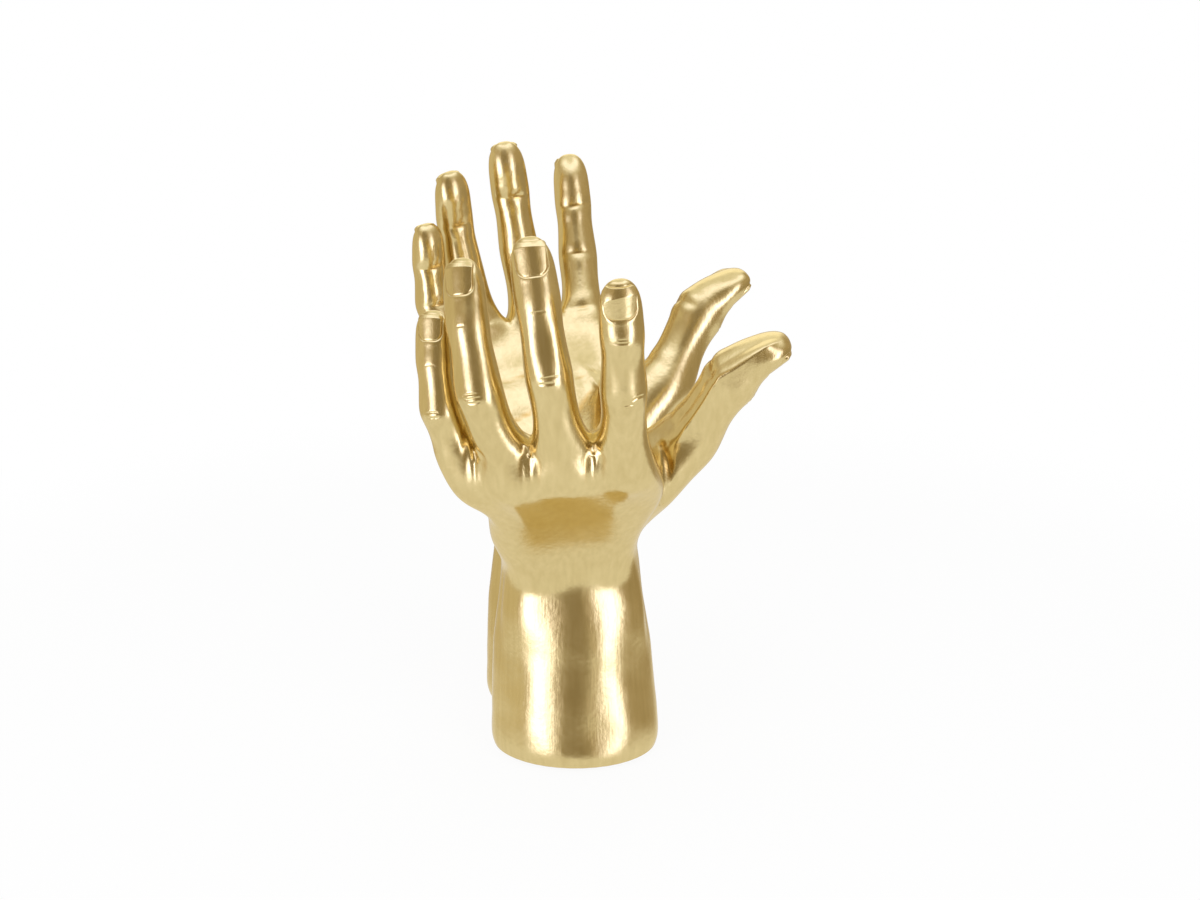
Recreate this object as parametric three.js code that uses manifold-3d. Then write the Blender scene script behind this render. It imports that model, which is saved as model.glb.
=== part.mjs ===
// A pair of open hands in gold-painted resin: a left and a right hand, cast apart, then pinned and bonded
// together at the forearms. Millimetres, +Z up. +X points to the thumbs, the left hand stands on the -Y side
// and the right hand is its mirror image across Y = 0. The origin is under the middle of the bounding box, on
// the surface that the statue stands on.
//
// Each hand is a subdivision surface. A cage of rings runs up the forearm and the palm, opens into four
// fingers at the webs and into the thumb at the side of the palm, and is smoothed once.

import * as THREE from "three";
import { mergeVertices } from "three/addons/utils/BufferGeometryUtils.js";
import Module from "manifold-3d";

const wasm = await Module();
wasm.setup();

// Forearm: a tapered oval column. Depths are measured from its axis, and its inner side is cut flat up to the
// height of the bond.
const WRIST_HEIGHT = 89;
const BOND_HEIGHT = 42.8;
const ARM_SHIFT = 2;
const ARM_TURN = 8;
const BASE_HALF_WIDTH = 37.4;
const BASE_BACK_DEPTH = 31;
const BASE_BOND_DEPTH = 31.5;
const WRIST_HALF_WIDTH = 30.5;
const WRIST_BACK_DEPTH = 20.5;
const WRIST_PALM_DEPTH = 21;
const BASE_EDGE_RADIUS = 5;
const BASE_RIM = 15;
const FOREARM_TAPER = 1.5;
const FOREARM_STATIONS = [0.2, 0.4, 0.6];

// How the open hand stands on the wrist, in degrees.
const HAND_LEAN = 43;
const HAND_ROLL = -4;
const HAND_TILT = -8;

// Fingers, from the thumb side. Knuckle centres are [radial, dorsal, distal] from the wrist in the hand's own
// frame. Bend is the flexion at knuckle, middle and end joint, spread and arch turn the whole finger, hook
// turns it back sideways from the middle joint, and web is where it leaves the palm, from the knuckle.
const FINGERS = [
  { knuckle: [26, 4, 86], bones: [44, 25, 24.5], bend: [16, 8, 6], spread: 4, arch: 3, hook: 0,
    middleWidth: 17.6, endWidth: 16.5, web: 15 },
  { knuckle: [3, 5, 89], bones: [47, 28, 26.5], bend: [28, 16, 11], spread: -4, arch: 0, hook: 0,
    middleWidth: 18, endWidth: 17.2, web: 15 },
  { knuckle: [-20, 3, 84], bones: [44, 27, 25.5], bend: [26, 23, 11], spread: -16, arch: -9, hook: 0,
    middleWidth: 18, endWidth: 17, web: 15.5 },
  { knuckle: [-37, -3.5, 76], bones: [35.5, 19, 20.5], bend: [26, 19, 8], spread: -20, arch: -12, hook: 9,
    middleWidth: 16, endWidth: 15, web: 15 },
];

// Rings along a finger: bone, share of its length, width against one of the joint widths, and the depth of
// back and pad against half that width. The first two share out what the web leaves of the bone.
const FINGER_PROFILE = [
  { bone: 0, share: 0.34, size: "middleWidth", width: 1.0, back: 0.96, pad: 1.02, fromWeb: true },
  { bone: 0, share: 0.68, size: "middleWidth", width: 0.98, back: 0.94, pad: 1.0, fromWeb: true },
  { bone: 0, share: 1.0, size: "middleWidth", width: 1.05, back: 1.04, pad: 0.9 },
  { bone: 1, share: 0.34, size: "middleWidth", width: 0.97, back: 0.93, pad: 0.96 },
  { bone: 1, share: 0.68, size: "endWidth", width: 0.95, back: 0.88, pad: 0.92 },
  { bone: 1, share: 1.0, size: "endWidth", width: 1.03, back: 0.92, pad: 0.82 },
  { bone: 2, share: 0.3, size: "endWidth", width: 1.0, back: 0.78, pad: 0.88 },
  { bone: 2, share: 0.58, size: "endWidth", width: 0.97, back: 0.7, pad: 0.88 },
  { bone: 2, share: 0.82, size: "endWidth", width: 0.82, back: 0.66, pad: 0.74 },
  { bone: 2, share: 0.98, size: "endWidth", width: 0.46, back: 0.6, pad: 0.56 },
];
const FINGERTIP_SHARE = 1.02;

// The skin turns with a joint over this share of the bones on both sides of it.
const JOINT_ZONE = 0.35;

// Thumb joints, [radial, dorsal, distal] from the wrist, and the way its nail faces.
const THUMB = {
  root: [22, -10, 18], knuckle: [57, -28.5, 46.5], joint: [74.5, -40, 73], tip: [99.5, -48, 86.5],
  nail: [0.75, 0.45, -0.5], rootWidth: 36, knuckleWidth: 27, jointWidth: 23, endWidth: 21,
};
const THUMBTIP_SHARE = 1;
const THUMB_PROFILE = [
  { bone: 0, share: 0.4, size: "rootWidth", width: 1.0, back: 0.72, pad: 1.0 },
  { bone: 0, share: 0.72, size: "knuckleWidth", width: 1.14, back: 0.76, pad: 1.1 },
  { bone: 1, share: 0.0, size: "knuckleWidth", width: 1.0, back: 0.92, pad: 1.05 },
  { bone: 1, share: 0.42, size: "jointWidth", width: 0.94, back: 0.88, pad: 1.06 },
  { bone: 1, share: 0.75, size: "jointWidth", width: 0.95, back: 0.92, pad: 1.04 },
  { bone: 2, share: 0.02, size: "jointWidth", width: 1.05, back: 1.0, pad: 1.0 },
  { bone: 2, share: 0.3, size: "endWidth", width: 1.04, back: 0.74, pad: 1.08 },
  { bone: 2, share: 0.56, size: "endWidth", width: 1.02, back: 0.58, pad: 0.92 },
  { bone: 2, share: 0.8, size: "endWidth", width: 0.94, back: 0.54, pad: 0.76 },
  { bone: 2, share: 0.96, size: "endWidth", width: 0.64, back: 0.52, pad: 0.6 },
];

// Palm rings from the wrist to below the knuckles: distance from the wrist, how far the ring has turned from
// the forearm to the hand, reach to each side, how deep the palm is hollowed in the middle, and how far the
// muscles at the thumb and at the outer edge swell.
const PALM_ROWS = [
  { distal: -17, turn: 0.16, radial: 31.5, ulnar: 31, back: 22, palm: 21.5, squareness: 2.1 },
  { distal: 0, turn: 0.5, radial: 30, ulnar: 29.5, back: 20, palm: 20.5, squareness: 2.2 },
  { distal: 15, turn: 0.82, radial: 29, ulnar: 29.5, back: 17.5, palm: 20, squareness: 2.3,
    hollow: 3, thumbSwell: 8, edgeSwell: 4 },
  { distal: 34, turn: 1, radial: 34, ulnar: 32.5, back: 14, palm: 19, squareness: 2.4,
    hollow: 9, thumbSwell: 7, edgeSwell: 5 },
  { distal: 59, turn: 1, radial: 43, ulnar: 30.5, back: 12, palm: 17, squareness: 2.5,
    hollow: 8, thumbSwell: 0, edgeSwell: 4 },
];

// Rings across the knuckles and the webs: depth of each back and pad, reach to the sides, and the dips
// between the fingers, which lie that much nearer the wrist.
const KNUCKLE_RING = {
  back: 11, pad: 13, radialSide: 14, ulnarSide: 7, dipBack: 8.5, dipPad: 13, dropBack: 0, dropPad: 0,
};
const WEB_RING = {
  back: 9.8, pad: 10.5, radialSide: 10.5, ulnarSide: 9, dipBack: 5, dipPad: 8, dropBack: 4, dropPad: 1,
};
const CORNER_FULLNESS = 1.15;

// Bond between the forearms, with its two dowels, the plug in each pour hole and the pad under each base.
const BOND_GAP = 0.3;
const FIT_GAP = 0.3;
const DOWEL_RADIUS = 3;
const DOWEL_LENGTH = 24;
const DOWEL_BELOW_BOND_TOP = 6;
const DOWEL_SPACING = 18;
const PLUG_RADIUS = 11;
const PLUG_LENGTH = 12;
const PLUG_LIP_RADIUS = 14;
const PLUG_LIP_THICKNESS = 3;
const PAD_THICKNESS = 1.5;
const PAD_INSET = 6;

const RING = 20;
const FINGER_RING = 8;
const THUMB_RING = 10;
const COLUMNS = 9;
const ROUND_SIDES = 24;
const rad = THREE.MathUtils.degToRad;
const vec = (x, y, z) => new THREE.Vector3(x, y, z);

// A smoothed ring of n corners settles inside them by a known share, so they start that much further out.
const swell = (n) => 1 / (2 / 3 + Math.cos((2 * Math.PI) / n) / 3);

// Cage of quads over shared points.
class Cage {
  points = [];
  faces = [];

  ring(points) {
    return points.map((p) => this.points.push(p) - 1);
  }

  bridge(lower, upper, skip = []) {
    lower.forEach((a, k) => {
      const next = (k + 1) % lower.length;
      if (!skip.includes(k)) this.faces.push([a, lower[next], upper[next], upper[k]]);
    });
  }

  cap(ring, centre, up) {
    const [middle] = this.ring([centre]);
    for (let k = 0; k < ring.length; k += 2) {
      const corner = [ring[k], ring[k + 1], ring[(k + 2) % ring.length]];
      this.faces.push([middle, ...(up ? corner : corner.reverse())]);
    }
  }
}

// One step of Catmull-Clark subdivision of a closed cage.
function subdivide({ points, faces }) {
  const mean = (list) => list.reduce((sum, p) => sum.add(p), vec(0, 0, 0)).divideScalar(list.length);
  const key = (a, b) => (a < b ? `${a}_${b}` : `${b}_${a}`);
  const centres = faces.map((face) => mean(face.map((i) => points[i])));
  const edges = new Map();
  const around = new Map();
  faces.forEach((face, f) =>
    face.forEach((a, k) => {
      const b = face[(k + 1) % face.length];
      const edge = edges.get(key(a, b)) ?? { ends: [a, b], faces: [] };
      edge.faces.push(f);
      edges.set(key(a, b), edge);
      around.set(a, [...(around.get(a) ?? []), f]);
    }),
  );
  const result = { points: [], faces: [] };
  const add = (p) => result.points.push(p) - 1;
  const middles = new Map();
  for (const edge of edges.values())
    for (const end of edge.ends)
      middles.set(end, [...(middles.get(end) ?? []), mean(edge.ends.map((i) => points[i]))]);
  const moved = new Map();
  for (const [i, list] of around) {
    const n = list.length;
    const p = mean(list.map((f) => centres[f]))
      .addScaledVector(mean(middles.get(i)), 2)
      .addScaledVector(points[i], n - 3)
      .divideScalar(n);
    moved.set(i, add(p));
  }
  for (const edge of edges.values())
    edge.index = add(mean([...edge.ends.map((i) => points[i]), ...edge.faces.map((f) => centres[f])]));
  faces.forEach((face, f) => {
    const centre = add(centres[f]);
    face.forEach((a, k) => {
      const after = edges.get(key(a, face[(k + 1) % face.length])).index;
      const before = edges.get(key(a, face.at(k - 1))).index;
      result.faces.push([moved.get(a), after, centre, before]);
    });
  });
  return result;
}

// Size between the base and the wrist, at a height on the forearm.
function tapered(base, top, height) {
  return THREE.MathUtils.lerp(base, top, (height / WRIST_HEIGHT) ** FOREARM_TAPER);
}

// Frame of the open hand: radial, dorsal and distal directions of the left hand, at its wrist. The axis of
// the forearm stands off the bond plane so that the flat ends at the height of the bond.
const armToBond = tapered(BASE_BOND_DEPTH, WRIST_PALM_DEPTH, BOND_HEIGHT);
const wrist = vec(0, -armToBond, WRIST_HEIGHT);
const handTurn = new THREE.Matrix4()
  .makeRotationY(rad(HAND_TILT))
  .multiply(new THREE.Matrix4().makeRotationX(rad(HAND_LEAN)))
  .multiply(new THREE.Matrix4().makeRotationZ(rad(HAND_ROLL)));
const hand = {
  radial: vec(1, 0, 0).applyMatrix4(handTurn),
  dorsal: vec(0, -1, 0).applyMatrix4(handTurn),
  distal: vec(0, 0, 1).applyMatrix4(handTurn),
};
const forearm = {
  radial: vec(Math.cos(rad(ARM_TURN)), -Math.sin(rad(ARM_TURN)), 0),
  dorsal: vec(-Math.sin(rad(ARM_TURN)), -Math.cos(rad(ARM_TURN)), 0),
  distal: vec(0, 0, 1),
};

function place(origin, frame, [radial, dorsal, distal]) {
  return origin
    .clone()
    .addScaledVector(frame.radial, radial)
    .addScaledVector(frame.dorsal, dorsal)
    .addScaledVector(frame.distal, distal);
}

function blendFrames(a, b, share) {
  const distal = a.distal.clone().lerp(b.distal, share).normalize();
  const radial = a.radial.clone().lerp(b.radial, share);
  radial.addScaledVector(distal, -radial.dot(distal)).normalize();
  return { radial, distal, dorsal: radial.clone().cross(distal) };
}

// A direction swung towards another one by an angle in degrees.
function swing(from, towards, angle) {
  return from.clone().multiplyScalar(Math.cos(rad(angle))).addScaledVector(towards, Math.sin(rad(angle)));
}

// Joint centres and bone frames of one finger.
function fingerBones({ knuckle, bones, bend, spread, arch, hook }) {
  const sideways = swing(hand.radial, hand.dorsal, -arch);
  const backwards = swing(hand.dorsal, hand.radial, arch);
  const joints = [place(wrist, hand, knuckle)];
  const frames = [];
  let flex = 0;
  bones.forEach((length, i) => {
    flex += bend[i];
    const straight = swing(hand.distal, sideways, i === 0 ? spread : spread + hook);
    const radial = straight.clone().cross(backwards);
    const distal = swing(straight, backwards, -flex);
    frames.push({ radial, distal, dorsal: radial.clone().cross(distal) });
    joints.push(joints[i].clone().addScaledVector(distal, length));
  });
  return { joints, frames };
}

// Centre and frame at a share of the way along one bone, turning with the joint near its ends.
function alongFinger({ joints, frames }, bone, share) {
  const centre = joints[bone].clone().lerp(joints[bone + 1], share);
  const pastStart = share / JOINT_ZONE;
  const beforeEnd = (1 - share) / JOINT_ZONE;
  if (beforeEnd < 1 && bone + 1 < frames.length)
    return { centre, frame: blendFrames(frames[bone], frames[bone + 1], (1 - beforeEnd) / 2) };
  if (pastStart < 1 && bone > 0)
    return { centre, frame: blendFrames(frames[bone - 1], frames[bone], (1 + pastStart) / 2) };
  return { centre, frame: frames[bone] };
}

// Ring of a finger or thumb: radial side first, then round by the pad and the far side to the back.
function fingerRing({ centre, frame }, width, { back, pad }, count = FINGER_RING, start = 0) {
  const half = (swell(count) * width) / 2;
  return Array.from({ length: count }, (_, k) => {
    const angle = start + (2 * Math.PI * k) / count;
    const depth = Math.sin(angle) > 0 ? pad : back;
    return place(centre, frame, [half * Math.cos(angle), -half * depth * Math.sin(angle), 0]);
  });
}

// Ring of the palm or forearm, in the same order: a squared oval with its own reach on each of four sides.
function palmRing(centre, frame, row) {
  const { radial, ulnar, back, palm, squareness = 2, hollow = 0, thumbSwell = 0, edgeSwell = 0 } = row;
  const out = swell(RING);
  const squared = (v) => Math.sign(v) * Math.abs(v) ** (2 / squareness);
  return Array.from({ length: RING }, (_, k) => {
    const angle = (2 * Math.PI * k) / RING;
    const across = squared(Math.cos(angle));
    const through = squared(Math.sin(angle));
    const swelling = (across > 0 ? thumbSwell : edgeSwell) * 4 * across ** 2 * (1 - across ** 2);
    const scooped = through > 0 ? hollow * (1 - across ** 2) ** 2 - swelling : 0;
    return place(centre, frame, [
      out * across * (across > 0 ? radial : ulnar),
      scooped - out * through * (through > 0 ? palm : back),
      0,
    ]);
  });
}

// Forearm rings, from the rounded edge of the base up to the wrist.
function forearmRow(height) {
  return {
    centre: vec(ARM_SHIFT * (1 - height / WRIST_HEIGHT), -armToBond, height),
    radial: tapered(BASE_HALF_WIDTH, WRIST_HALF_WIDTH, height),
    ulnar: tapered(BASE_HALF_WIDTH, WRIST_HALF_WIDTH, height),
    back: tapered(BASE_BACK_DEPTH, WRIST_BACK_DEPTH, height),
    palm: tapered(BASE_BOND_DEPTH, WRIST_PALM_DEPTH, height),
  };
}

function forearmRings(cage) {
  const inset = (row, by, height) => ({
    ...row,
    centre: vec(row.centre.x, row.centre.y, height),
    radial: row.radial - by,
    ulnar: row.ulnar - by,
    back: row.back - by,
    palm: row.palm - by,
  });
  const foot = forearmRow(BASE_EDGE_RADIUS);
  const rows = [
    inset(foot, BASE_RIM, 0),
    inset(foot, BASE_EDGE_RADIUS / 2, 0),
    foot,
    ...FOREARM_STATIONS.map((share) => forearmRow(share * WRIST_HEIGHT)),
  ];
  const rings = rows.map((row) => cage.ring(palmRing(row.centre, forearm, row)));
  cage.cap(rings[0], rows[0].centre, false);
  return rings;
}

function palmRings(cage) {
  return PALM_ROWS.map((row) => {
    const axis = row.distal < 0 ? forearm.distal : hand.distal;
    const centre = wrist.clone().addScaledVector(axis, row.distal);
    return cage.ring(palmRing(centre, blendFrames(forearm, hand, row.turn), row));
  });
}

// Ring across all four fingers: at each one its back and pad, between them the dips, and the two outer edges.
function acrossFingers(stations, { back, pad, radialSide, ulnarSide, dipBack, dipPad, dropBack, dropPad }) {
  const at = ({ centre, frame }, ...reach) => place(centre, frame, reach);
  const between = (a, b) => ({
    centre: a.centre.clone().lerp(b.centre, 0.5),
    frame: blendFrames(a.frame, b.frame, 0.5),
  });
  const first = stations[0];
  const last = stations.at(-1);
  const pads = [];
  const backs = [];
  stations.forEach((station, j) => {
    pads.push(at(station, 0, -pad, 0));
    backs.push(at(station, 0, back, 0));
    if (station === last) return;
    const dip = between(station, stations[j + 1]);
    pads.push(at(dip, 0, -dipPad, -dropPad));
    backs.push(at(dip, 0, dipBack, -dropBack));
  });
  const corner = Math.SQRT1_2 * CORNER_FULLNESS;
  return [
    at(first, radialSide, 0, 0),
    at(first, radialSide * corner, -pad * corner, 0),
    ...pads,
    at(last, -ulnarSide * corner, -pad * corner, 0),
    at(last, -ulnarSide, 0, 0),
    at(last, -ulnarSide * corner, back * corner, 0),
    ...backs.reverse(),
    at(first, radialSide * corner, back * corner, 0),
  ];
}

// Four fingers on the web ring, which they share point by point with each other and with the palm.
function growFingers(cage, webRing, bones) {
  const webMiddles = bones.slice(1).map((finger, j) => {
    const a = alongFinger(bones[j], 0, FINGERS[j].web / FINGERS[j].bones[0]);
    const b = alongFinger(finger, 0, FINGERS[j + 1].web / FINGERS[j + 1].bones[0]);
    return cage.ring([a.centre.lerp(b.centre, 0.5)])[0];
  });
  const padSide = (i) => webRing[1 + i];
  const backSide = (i) => webRing[RING - 1 - i];
  bones.forEach((finger, j) => {
    const shape = FINGERS[j];
    const first = 2 * j;
    const base = [
      j === 0 ? webRing[0] : webMiddles[j - 1],
      padSide(first), padSide(first + 1), padSide(first + 2),
      j === bones.length - 1 ? webRing[COLUMNS + 1] : webMiddles[j],
      backSide(first + 2), backSide(first + 1), backSide(first),
    ];
    const webShare = shape.web / shape.bones[0];
    let ring = base;
    for (const row of FINGER_PROFILE) {
      const share = row.fromWeb ? THREE.MathUtils.lerp(webShare, 1, row.share) : row.share;
      const station = alongFinger(finger, row.bone, share);
      const next = cage.ring(fingerRing(station, row.width * shape[row.size], row));
      cage.bridge(ring, next);
      ring = next;
    }
    cage.cap(ring, alongFinger(finger, shape.bones.length - 1, FINGERTIP_SHARE).centre, true);
  });
}

// Thumb, grown out of the opening in the side of the palm. Its pad starts at the palm's edge of the opening.
function growThumb(cage, opening) {
  const joints = ["root", "knuckle", "joint", "tip"].map((name) => place(wrist, hand, THUMB[name]));
  const nail = place(vec(0, 0, 0), hand, THUMB.nail);
  const frames = joints.slice(1).map((end, i) => {
    const distal = end.clone().sub(joints[i]).normalize();
    const radial = distal.clone().cross(nail).normalize();
    return { distal, radial, dorsal: radial.clone().cross(distal) };
  });
  let ring = opening;
  for (const row of THUMB_PROFILE) {
    const station = alongFinger({ joints, frames }, row.bone, row.share);
    const next = cage.ring(fingerRing(station, row.width * THUMB[row.size], row, THUMB_RING, Math.PI / 2));
    cage.bridge(ring, next);
    ring = next;
  }
  cage.cap(ring, alongFinger({ joints, frames }, frames.length - 1, THUMBTIP_SHARE).centre, true);
}

function handCage() {
  const cage = new Cage();
  const bones = FINGERS.map(fingerBones);
  const knuckles = bones.map(({ joints, frames }) => ({
    centre: joints[0],
    frame: blendFrames(hand, frames[0], 0.5),
  }));
  const webs = bones.map((finger, j) => alongFinger(finger, 0, FINGERS[j].web / FINGERS[j].bones[0]));
  const knuckleRing = cage.ring(acrossFingers(knuckles, KNUCKLE_RING));
  const webRing = cage.ring(acrossFingers(webs, WEB_RING));
  const column = [...forearmRings(cage), ...palmRings(cage), knuckleRing, webRing];
  const [low, middle, high] = column.slice(-5, -2);
  const thumbColumns = [0, 1, 2];
  column.slice(1).forEach((upper, i) => {
    cage.bridge(column[i], upper, upper === middle || upper === high ? thumbColumns : []);
  });
  growThumb(cage, [
    high[3], high[2], high[1], high[0], middle[0], low[0], low[1], low[2], low[3], middle[3],
  ]);
  growFingers(cage, webRing, bones);
  return cage;
}

// A closed cage as a geometry of triangles.
function geometryOf({ points, faces }) {
  const corners = faces.flatMap(([a, b, c, d]) => {
    const acrossFirst = points[a].distanceTo(points[c]) > points[b].distanceTo(points[d]);
    return acrossFirst ? [a, b, c, a, c, d] : [a, b, d, b, c, d];
  });
  const geometry = new THREE.BufferGeometry().setFromPoints(points);
  return geometry.setIndex(corners);
}

function solidOf(geometry) {
  const bare = geometry.clone();
  for (const name of Object.keys(bare.attributes)) if (name !== "position") bare.deleteAttribute(name);
  const merged = mergeVertices(bare, 1e-4);
  return new wasm.Manifold(
    new wasm.Mesh({
      numProp: 3,
      vertProperties: new Float32Array(merged.attributes.position.array),
      triVerts: new Uint32Array(merged.index.array),
    }),
  );
}

function geometryFrom(solid) {
  const mesh = solid.getMesh();
  const geometry = new THREE.BufferGeometry();
  geometry.setAttribute("position", new THREE.BufferAttribute(new Float32Array(mesh.vertProperties), 3));
  geometry.setIndex(new THREE.BufferAttribute(new Uint32Array(mesh.triVerts), 1));
  return geometry;
}

const box = (width, depth, height, x, y, z) => new THREE.BoxGeometry(width, depth, height).translate(x, y, z);
const baseUnderside = PAD_THICKNESS + FIT_GAP;
const upperDowelHeight = BOND_HEIGHT - DOWEL_BELOW_BOND_TOP;
const lowerDowelHeight = upperDowelHeight - DOWEL_SPACING;
const armAt = (height) => forearmRow(height).centre;

// Dowel across the bond, at the middle of the forearms. The clearance turns it into its hole.
function dowel(height, clearance = 0) {
  const radius = DOWEL_RADIUS + clearance;
  return new THREE.CylinderGeometry(radius, radius, DOWEL_LENGTH + 2 * clearance, ROUND_SIDES)
    .translate(armAt(height).x, 0, height);
}

// Stepped plug, standing on its lip. The clearance turns it into its seat, which is open below.
function plug(clearance = 0) {
  const foot = clearance ? -PLUG_LIP_THICKNESS : 0;
  const outline = [
    [0, foot],
    [PLUG_LIP_RADIUS + clearance, foot],
    [PLUG_LIP_RADIUS + clearance, PLUG_LIP_THICKNESS + clearance],
    [PLUG_RADIUS + clearance, PLUG_LIP_THICKNESS + clearance],
    [PLUG_RADIUS + clearance, PLUG_LENGTH + clearance],
    [0, PLUG_LENGTH + clearance],
  ].map(([x, y]) => new THREE.Vector2(x, y));
  const { x, y } = armAt(0);
  return new THREE.LatheGeometry(outline, ROUND_SIDES).rotateX(Math.PI / 2).translate(x, y, baseUnderside);
}

function feltPad() {
  const row = forearmRow(0);
  const inset = {
    radial: row.radial - PAD_INSET,
    ulnar: row.ulnar - PAD_INSET,
    back: row.back - PAD_INSET,
    palm: armToBond - PAD_INSET,
  };
  const outline = palmRing(row.centre, forearm, inset).map(({ x, y }) => new THREE.Vector2(x, y));
  return new THREE.ExtrudeGeometry(new THREE.Shape(outline), { depth: PAD_THICKNESS, bevelEnabled: false });
}

// Left hand: the smoothed cage, cut flat under the base and at the bond, with its dowel holes and plug seat.
function handSolid() {
  const wide = 4 * BASE_HALF_WIDTH;
  const cutters = [
    box(wide, wide, wide, 0, 0, baseUnderside - wide / 2),
    box(wide, wide, WRIST_HEIGHT, 0, wide / 2 - BOND_GAP / 2, WRIST_HEIGHT / 2),
    dowel(lowerDowelHeight, FIT_GAP),
    dowel(upperDowelHeight, FIT_GAP),
    plug(FIT_GAP),
  ];
  const cast = solidOf(geometryOf(subdivide(handCage())));
  return cutters.reduce((solid, cutter) => solid.subtract(solidOf(cutter)), cast);
}

const goldPaint = { color: 0xcfae5c, roughness: 0.28, metalness: 1 };
const steel = { color: 0x9a9a98, roughness: 0.4, metalness: 1 };
const plugResin = { color: 0xd9d2c0, roughness: 0.7, metalness: 0 };
const felt = { color: 0x1d1c1a, roughness: 0.95, metalness: 0 };

const statue = new THREE.Group();
function add(name, geometry, finish, mirrored = false) {
  const mesh = new THREE.Mesh(geometry, new THREE.MeshStandardMaterial(finish));
  mesh.name = name;
  if (mirrored) mesh.scale.y = -1;
  statue.add(mesh);
}

const pieces = { hand: geometryFrom(handSolid()), base_plug: plug(), felt_pad: feltPad() };
const finishes = { hand: goldPaint, base_plug: plugResin, felt_pad: felt };
for (const [piece, geometry] of Object.entries(pieces)) {
  add(`left_${piece}`, geometry, finishes[piece]);
  add(`right_${piece}`, geometry, finishes[piece], true);
}
add("lower_dowel", dowel(lowerDowelHeight), steel);
add("upper_dowel", dowel(upperDowelHeight), steel);

const bounds = new THREE.Box3().setFromObject(statue);
statue.position.x = -(bounds.min.x + bounds.max.x) / 2;

export default statue;
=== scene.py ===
import math

import bmesh
import bpy
import numpy as np
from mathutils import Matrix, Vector


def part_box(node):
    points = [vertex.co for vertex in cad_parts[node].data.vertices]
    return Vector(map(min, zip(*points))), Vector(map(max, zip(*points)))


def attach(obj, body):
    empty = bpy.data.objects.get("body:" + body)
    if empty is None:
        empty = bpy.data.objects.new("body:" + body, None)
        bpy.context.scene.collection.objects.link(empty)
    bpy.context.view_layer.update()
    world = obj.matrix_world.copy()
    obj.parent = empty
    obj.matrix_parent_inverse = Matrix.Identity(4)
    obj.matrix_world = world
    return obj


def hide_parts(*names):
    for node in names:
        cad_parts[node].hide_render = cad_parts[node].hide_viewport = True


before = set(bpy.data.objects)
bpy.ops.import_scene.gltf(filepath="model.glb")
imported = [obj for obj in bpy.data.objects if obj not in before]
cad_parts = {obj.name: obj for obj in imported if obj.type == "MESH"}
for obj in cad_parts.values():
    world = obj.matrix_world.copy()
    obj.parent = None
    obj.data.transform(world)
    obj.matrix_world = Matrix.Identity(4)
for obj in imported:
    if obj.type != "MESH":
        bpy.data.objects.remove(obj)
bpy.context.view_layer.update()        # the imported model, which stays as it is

scene = bpy.context.scene
scene.view_settings.view_transform = "Standard"
print("frame loaded")


def addObject(name, data):
    obj = bpy.data.objects.new(name, data)
    scene.collection.objects.link(obj)
    return obj


# Photographer's place

cameraSetup = {
    "place": (-0.0788, -0.9115, 0.4351),
    "aim": (0.0031, 0.0, 0.1289),
    "lens": 65.4,
    "sensor": 36.0,
}


def addCamera(setup):
    data = bpy.data.cameras.new("photoCamera")
    data.lens = setup["lens"]
    data.sensor_width = setup["sensor"]
    camera = addObject("photoCamera", data)
    camera.location = setup["place"]
    way = Vector(setup["aim"]) - Vector(setup["place"])
    camera.rotation_euler = way.to_track_quat("-Z", "Y").to_euler()
    scene.camera = camera


addCamera(cameraSetup)

# Bones of the left hand, which say where nails, creases and folds go. Places in the hand are given across
# it to the thumb, towards its back and along it, from the wrist.

handPose = {
    "wristHeight": 0.089,
    "footShift": 0.002,      # the plug under the foot lies this far to the thumb side of the wrist
    "lean": 43,
    "roll": -4,
    "tilt": -8,
}
fingerPlan = {
    "index": {
        "knuckle": (0.026, 0.004, 0.086), "bones": (0.044, 0.025, 0.0245), "bend": (16, 8, 6),
        "spread": 4, "arch": 3, "hook": 0,
    },
    "middle": {
        "knuckle": (0.003, 0.005, 0.089), "bones": (0.047, 0.028, 0.0265), "bend": (28, 16, 11),
        "spread": -4, "arch": 0, "hook": 0,
    },
    "ring": {
        "knuckle": (-0.020, 0.003, 0.084), "bones": (0.044, 0.027, 0.0255), "bend": (26, 23, 11),
        "spread": -16, "arch": -9, "hook": 0,
    },
    "little": {
        "knuckle": (-0.037, -0.0035, 0.076), "bones": (0.0355, 0.019, 0.0205), "bend": (26, 19, 8),
        "spread": -20, "arch": -12, "hook": 9,
    },
}
thumbPlan = {
    "root": (0.022, -0.010, 0.018),
    "knuckle": (0.057, -0.0285, 0.0465),
    "joint": (0.0745, -0.040, 0.073),
    "tip": (0.0995, -0.048, 0.0865),
    "nailFaces": (0.75, 0.45, -0.5),
}


def turn(axis, degrees):
    c, s = math.cos(math.radians(degrees)), math.sin(math.radians(degrees))
    return {
        "x": np.array([[1, 0, 0], [0, c, -s], [0, s, c]]),
        "y": np.array([[c, 0, s], [0, 1, 0], [-s, 0, c]]),
        "z": np.array([[c, -s, 0], [s, c, 0], [0, 0, 1]]),
    }[axis]


def unit(v):
    return v / np.linalg.norm(v)


def swing(start, towards, degrees):
    return start * math.cos(math.radians(degrees)) + towards * math.sin(math.radians(degrees))


def handAxes(pose):
    turned = turn("y", pose["tilt"]) @ turn("x", pose["lean"]) @ turn("z", pose["roll"])
    low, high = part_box("left_base_plug")
    foot = (low + high) / 2
    return {
        "origin": np.array([foot.x - pose["footShift"], foot.y, pose["wristHeight"]]),
        "across": turned @ np.array([1.0, 0, 0]),
        "back": turned @ np.array([0, -1.0, 0]),
        "along": turned @ np.array([0, 0, 1.0]),
    }


hand = handAxes(handPose)


def inHand(point):
    return hand["origin"] + point[0] * hand["across"] + point[1] * hand["back"] + point[2] * hand["along"]


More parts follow.
